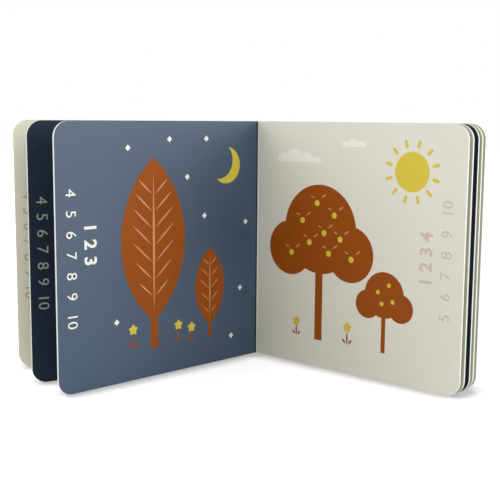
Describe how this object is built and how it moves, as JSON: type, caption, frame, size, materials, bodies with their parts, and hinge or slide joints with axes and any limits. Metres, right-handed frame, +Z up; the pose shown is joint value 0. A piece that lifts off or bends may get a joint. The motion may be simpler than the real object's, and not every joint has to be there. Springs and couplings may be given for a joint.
{
  "type": "board book",
  "caption": "Square board book standing upright and open, its thick round-cornered boards fanned out, with two covers that swing at the spine.",
  "frame": {"origin": "foot of the fold in the middle of the open spread, on the surface that the book stands on", "axes": "+X to the reader's right, +Y away from the reader towards the spine, +Z up"},
  "size_m": [0.2873, 0.1195, 0.16],
  "materials": {
    "white_board": "uncoated die-cut edge",
    "spine_card": "matt laminated",
    "slate_blue": "matt laminated print",
    "navy": "matt laminated print",
    "beige": "matt laminated print",
    "rust": "matt laminated print",
    "yellow": "matt laminated print",
    "cream": "matt laminated print"
  },
  "bodies": {
    "book_block": {"pages": "white_board", "spine": "spine_card", "slate_sheets": "slate_blue", "navy_sheets": "navy", "beige_sheets": "beige", "night_trees": "rust", "day_trees": "rust", "moon": "yellow", "sun": "yellow", "stars": "cream"},
    "front_cover_board": {"front_cover": "white_board", "front_cover_inside_sheet": "beige", "front_cover_outside_sheet": "slate_blue", "front_cover_sun": "yellow"},
    "back_cover_board": {"back_cover": "white_board", "back_cover_inside_sheet": "beige", "back_cover_outside_sheet": "slate_blue"}
  },
  "joints": [
    {"name": "front_cover_hinge", "type": "hinge", "parent": "book_block", "child": "front_cover_board", "pos_m": [-0.00238, 0.00377, 0], "axis": [0, 0, 1], "range_deg": [-60, 13.9]},
    {"name": "back_cover_hinge", "type": "hinge", "parent": "book_block", "child": "back_cover_board", "pos_m": [0.00496, 0.00571, 0], "axis": [0, 0, 1], "range_deg": [-1, 80]}
  ]
}
